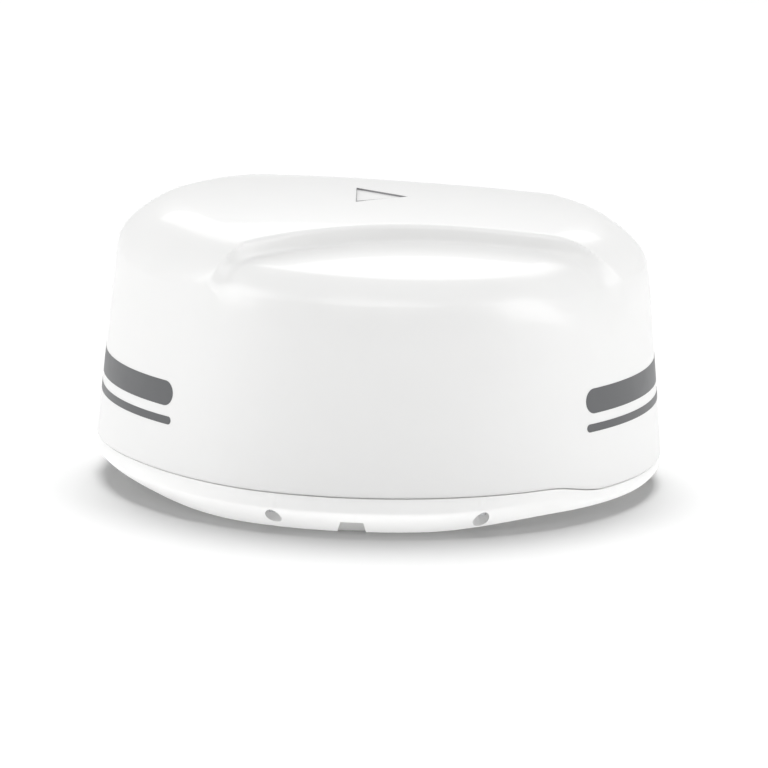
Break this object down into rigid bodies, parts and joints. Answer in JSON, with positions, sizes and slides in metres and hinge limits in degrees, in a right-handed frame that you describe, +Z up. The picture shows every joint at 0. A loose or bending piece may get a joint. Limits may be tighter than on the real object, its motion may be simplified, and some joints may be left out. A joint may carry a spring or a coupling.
{
  "type": "radar dome antenna",
  "caption": "White marine radar dome with a heading mark, a screwed base and a geared rotating antenna array inside.",
  "frame": {"origin": "middle of the underside, on the surface that the dome stands on", "axes": "+X towards the bow, the way the heading mark points; -Y towards the port side with the foot notch; +Z up"},
  "size_m": [0.51, 0.51, 0.2587],
  "materials": {
    "dome_white": "smooth white gelcoat, satin gloss",
    "base_white": "moulded white plastic, satin gloss",
    "black_rubber": "matt moulded rubber",
    "stainless_steel": "turned stainless steel",
    "brass": "machined brass",
    "black_plastic": "fine moulded texture",
    "aluminium": "cast and milled, clear passivated",
    "circuit_board": "green solder mask over glass laminate",
    "tinned_steel": "tinned sheet",
    "bearing_steel": "ground steel",
    "natural_nylon": "natural nylon, moulded",
    "antenna_laminate": "bare microwave laminate with copper patches",
    "cable_sheath": "smooth flexible sheath"
  },
  "bodies": {
    "housing": {"base_housing": "base_white", "radome_cover": "dome_white", "cover_screw_1": "stainless_steel", "cover_screw_2": "stainless_steel", "cover_screw_3": "stainless_steel", "cover_screw_4": "stainless_steel", "cover_screw_5": "stainless_steel", "cover_screw_6": "stainless_steel", "mount_insert_1": "brass", "mount_insert_2": "brass", "mount_insert_3": "brass", "mount_insert_4": "brass", "power_connector": "black_plastic", "network_connector": "black_plastic", "cover_seal": "black_rubber", "chassis_plate": "aluminium", "chassis_screw_1": "stainless_steel", "chassis_screw_2": "stainless_steel", "chassis_screw_3": "stainless_steel", "chassis_screw_4": "stainless_steel", "main_board": "circuit_board", "board_shield": "tinned_steel", "transceiver_module": "aluminium", "heat_sink": "aluminium", "drive_motor": "black_plastic", "motor_screw_1": "stainless_steel", "motor_screw_2": "stainless_steel", "motor_screw_3": "stainless_steel", "motor_screw_4": "stainless_steel", "bearing_outer_race": "bearing_steel", "index_sensor": "black_plastic", "rotary_joint_stator": "brass", "radio_feed_cable": "cable_sheath", "power_lead": "cable_sheath", "network_lead": "cable_sheath", "motor_lead": "cable_sheath", "power_connector_nut": "stainless_steel", "network_connector_nut": "stainless_steel", "power_connector_gasket": "black_rubber", "network_connector_gasket": "black_rubber", "vent_plug": "black_plastic"},
    "antenna": {"turntable_hub": "aluminium", "hub_retainer": "bearing_steel", "bearing_inner_race": "bearing_steel", "drive_gear": "natural_nylon", "index_flag": "black_plastic", "rotary_joint_rotor": "brass", "turntable_plate": "aluminium", "array_bracket_1": "aluminium", "array_bracket_2": "aluminium", "antenna_array": "antenna_laminate", "array_reflector": "aluminium", "front_end_module": "tinned_steel", "balance_weight": "bearing_steel", "array_feed_cable": "cable_sheath"},
    "pinion": {"motor_pinion": "brass", "motor_shaft": "bearing_steel"},
    "cage": {"bearing_cage": "bearing_steel"}
  },
  "joints": [
    {"name": "antenna_spin", "type": "hinge", "parent": "housing", "child": "antenna", "pos_m": [0, 0, 0.0525], "axis": [0, 0, 1], "continuous": true},
    {"name": "pinion_spin", "type": "hinge", "parent": "housing", "child": "pinion", "pos_m": [0, -0.09, 0.0585], "axis": [0, 0, 1], "continuous": true},
    {"name": "cage_spin", "type": "hinge", "parent": "housing", "child": "cage", "pos_m": [0, 0, 0.0525], "axis": [0, 0, 1], "continuous": true}
  ],
  "couplings": [
    {"joint": "pinion_spin", "follows": "antenna_spin", "ratio": -4},
    {"joint": "cage_spin", "follows": "antenna_spin", "ratio": 0.4286}
  ]
}
